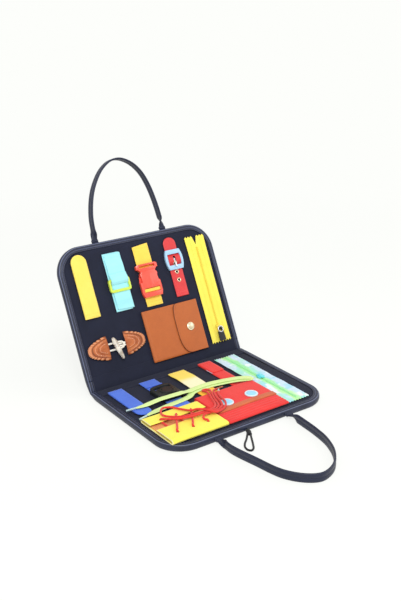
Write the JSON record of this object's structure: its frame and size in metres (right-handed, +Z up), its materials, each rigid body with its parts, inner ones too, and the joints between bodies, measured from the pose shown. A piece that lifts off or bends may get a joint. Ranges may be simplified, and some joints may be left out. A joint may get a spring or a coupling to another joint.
{
  "type": "busy board",
  "caption": "Fold-open fabric busy-board handbag, its two padded leaves fitted with straps, buckles, zips, laces, a wallet and a pouch for a child to practise on.",
  "frame": {"origin": "centre of the front leaf's flat underside, on the surface it rests on", "axes": "+Z up, +X to the right and -Y towards the reader, with the front leaf lying towards -Y and the rear leaf standing towards +Y"},
  "size_m": [0.28, 0.5144, 0.3184],
  "materials": {
    "navy_fabric": "plain weave",
    "navy_binding": "folded tape",
    "board": "stiff felt board",
    "black_cord": "elastic cord",
    "black_plastic": "satin",
    "yellow_fabric": "woven",
    "yellow_webbing": "webbing",
    "cyan_webbing": "webbing",
    "lime_plastic": "gloss",
    "red_plastic": "gloss",
    "red_leather": "smooth",
    "pale_blue_plastic": "gloss",
    "steel": "polished",
    "brown_leather": "smooth",
    "cream_cord": "cord",
    "horn": "horn look",
    "blue_webbing": "webbing",
    "red_fabric": "woven",
    "pastel_tape": "dyed tape",
    "cyan_plastic": "gloss",
    "lime_lace": "flat lace",
    "clear_plastic": "clear",
    "orange_fabric": "plain weave",
    "red_lace": "round lace",
    "brown_plastic": "satin",
    "snap_plastic": "gloss"
  },
  "bodies": {
    "base": {"front_cover": "navy_fabric", "front_board": "board", "front_lining": "navy_fabric", "front_binding": "navy_binding", "closure_loop": "black_cord", "blue_loop_strip": "blue_webbing", "push_strap_upper": "blue_webbing", "push_strap_lower": "blue_webbing", "push_buckle_body": "black_plastic", "yellow_strap": "yellow_webbing", "red_loop_strip": "red_fabric", "pastel_zip_tape": "pastel_tape", "lacing_sleeve": "yellow_fabric", "lacing_tongue": "orange_fabric", "pouch_body": "red_fabric", "red_lace": "red_lace", "red_aglet_brown": "brown_plastic", "red_aglet_clear": "clear_plastic", "lime_lace": "lime_lace", "lime_aglet_upper": "clear_plastic", "lime_aglet_lower": "clear_plastic"},
    "spine": {"spine_cover": "navy_fabric", "spine_lining": "navy_fabric"},
    "rear_leaf": {"rear_cover": "navy_fabric", "rear_board": "board", "rear_lining": "navy_fabric", "rear_binding": "navy_binding", "yellow_loop_strip": "yellow_fabric", "cyan_webbing": "cyan_webbing", "release_strap_lower": "yellow_webbing", "release_strap_upper": "yellow_webbing", "release_buckle_socket": "red_plastic", "belt_strap": "red_leather", "belt_buckle_frame": "pale_blue_plastic", "yellow_zip_tape": "yellow_fabric", "toggle_patch_left": "brown_leather", "toggle_patch_right": "brown_leather", "toggle_loop": "cream_cord", "toggle_cord": "cream_cord", "wallet_body": "brown_leather", "closure_button": "black_plastic"},
    "yellow_hook": {"yellow_hook_strap": "yellow_fabric"},
    "tri_glide_body": {"tri_glide": "lime_plastic"},
    "release_plug": {"release_buckle_plug": "red_plastic"},
    "prong": {"belt_prong": "steel"},
    "yellow_slider": {"yellow_zip_slider": "black_plastic"},
    "zip_pull": {"yellow_zip_pull": "black_plastic"},
    "toggle": {"toggle_horn": "horn"},
    "wallet_flap_body": {"wallet_flap": "brown_leather", "wallet_snap": "steel"},
    "rear_handle_body": {"rear_handle": "navy_binding"},
    "blue_hook": {"blue_hook_strap": "blue_webbing"},
    "push_button": {"push_buckle_button": "black_plastic"},
    "push_tongue": {"push_buckle_tongue": "black_plastic"},
    "red_hook": {"red_hook_strap": "red_fabric"},
    "pastel_slider": {"pastel_zip_slider": "cyan_plastic"},
    "pouch_flap_body": {"pouch_flap": "red_fabric", "pouch_snap_left": "snap_plastic", "pouch_snap_right": "snap_plastic"},
    "front_handle_body": {"front_handle": "navy_binding"}
  },
  "joints": [
    {"name": "fold_front", "type": "hinge", "parent": "base", "child": "spine", "pos_m": [0, 0.102, 0], "axis": [-1, 0, 0], "range_deg": [-54, 32]},
    {"name": "fold_rear", "type": "hinge", "parent": "spine", "child": "rear_leaf", "pos_m": [0, 0.12744, 0.0159], "axis": [-1, 0, 0], "range_deg": [-54, 32]},
    {"name": "yellow_hook_peel", "type": "hinge", "parent": "rear_leaf", "child": "yellow_hook", "pos_m": [-0.1045, 0.15787, 0.1052], "axis": [1, 0, 0], "range_deg": [0, 120]},
    {"name": "tri_glide_slide", "type": "slide", "parent": "rear_leaf", "child": "tri_glide_body", "axis": [0, 0.4384, 0.8988], "range_m": [-0.012, 0.02]},
    {"name": "release_plug_slide", "type": "slide", "parent": "rear_leaf", "child": "release_plug", "axis": [0, 0.4384, 0.8988], "range_m": [0, 0.024]},
    {"name": "prong_turn", "type": "hinge", "parent": "rear_leaf", "child": "prong", "pos_m": [0.0585, 0.18341, 0.15939], "axis": [-1, 0, 0], "range_deg": [0, 100]},
    {"name": "yellow_zip_slide", "type": "slide", "parent": "rear_leaf", "child": "yellow_slider", "axis": [0, 0.4384, 0.8988], "range_m": [-0.003, 0.125]},
    {"name": "zip_pull_turn", "type": "hinge", "parent": "yellow_slider", "child": "zip_pull", "pos_m": [0.107, 0.12587, 0.04849], "axis": [-1, 0, 0], "range_deg": [0, 150]},
    {"name": "toggle_turn", "type": "hinge", "parent": "rear_leaf", "child": "toggle", "pos_m": [-0.0818, 0.12965, 0.06444], "axis": [0, -0.8988, 0.4384], "range_deg": [0, 55]},
    {"name": "wallet_flap_turn", "type": "hinge", "parent": "rear_leaf", "child": "wallet_flap_body", "pos_m": [0.07695, 0.13671, 0.05989], "axis": [0, 0.4384, 0.8988], "range_deg": [0, 90]},
    {"name": "rear_handle_turn", "type": "hinge", "parent": "rear_leaf", "child": "rear_handle_body", "pos_m": [-0.004, 0.21387, 0.2045], "axis": [1, 0, 0], "range_deg": [-80, 80]},
    {"name": "blue_hook_peel", "type": "hinge", "parent": "base", "child": "blue_hook", "pos_m": [-0.1105, 0.0924, 0.0118], "axis": [-1, 0, 0], "range_deg": [0, 110], "deforming": ["lime_lace", "lime_aglet_upper"]},
    {"name": "push_button_press", "type": "slide", "parent": "base", "child": "push_button", "axis": [0, 0, -1], "range_m": [0, 0.0015], "stiffness_N_per_m": 1500, "springref_m": -0.001},
    {"name": "push_tongue_slide", "type": "slide", "parent": "base", "child": "push_tongue", "axis": [0, -1, 0], "range_m": [0, 0.016], "deforming": ["lime_lace"]},
    {"name": "red_hook_peel", "type": "hinge", "parent": "base", "child": "red_hook", "pos_m": [0.052, 0.095, 0.0118], "axis": [-1, 0, 0], "range_deg": [0, 110]},
    {"name": "pastel_zip_slide", "type": "slide", "parent": "base", "child": "pastel_slider", "axis": [0, -1, 0], "range_m": [-0.078, 0.074]},
    {"name": "pouch_flap_turn", "type": "hinge", "parent": "base", "child": "pouch_flap_body", "pos_m": [0.0185, -0.0011, 0.0109], "axis": [-1, 0, 0], "range_deg": [0, 90], "deforming": ["red_lace", "red_aglet_brown", "red_aglet_clear", "lime_lace"]},
    {"name": "front_handle_turn", "type": "hinge", "parent": "base", "child": "front_handle_body", "pos_m": [-0.004, -0.1054, 0.005], "axis": [-1, 0, 0], "range_deg": [0, 90]}
  ],
  "couplings": [
    {"joint": "fold_rear", "follows": "fold_front", "ratio": 1}
  ]
}
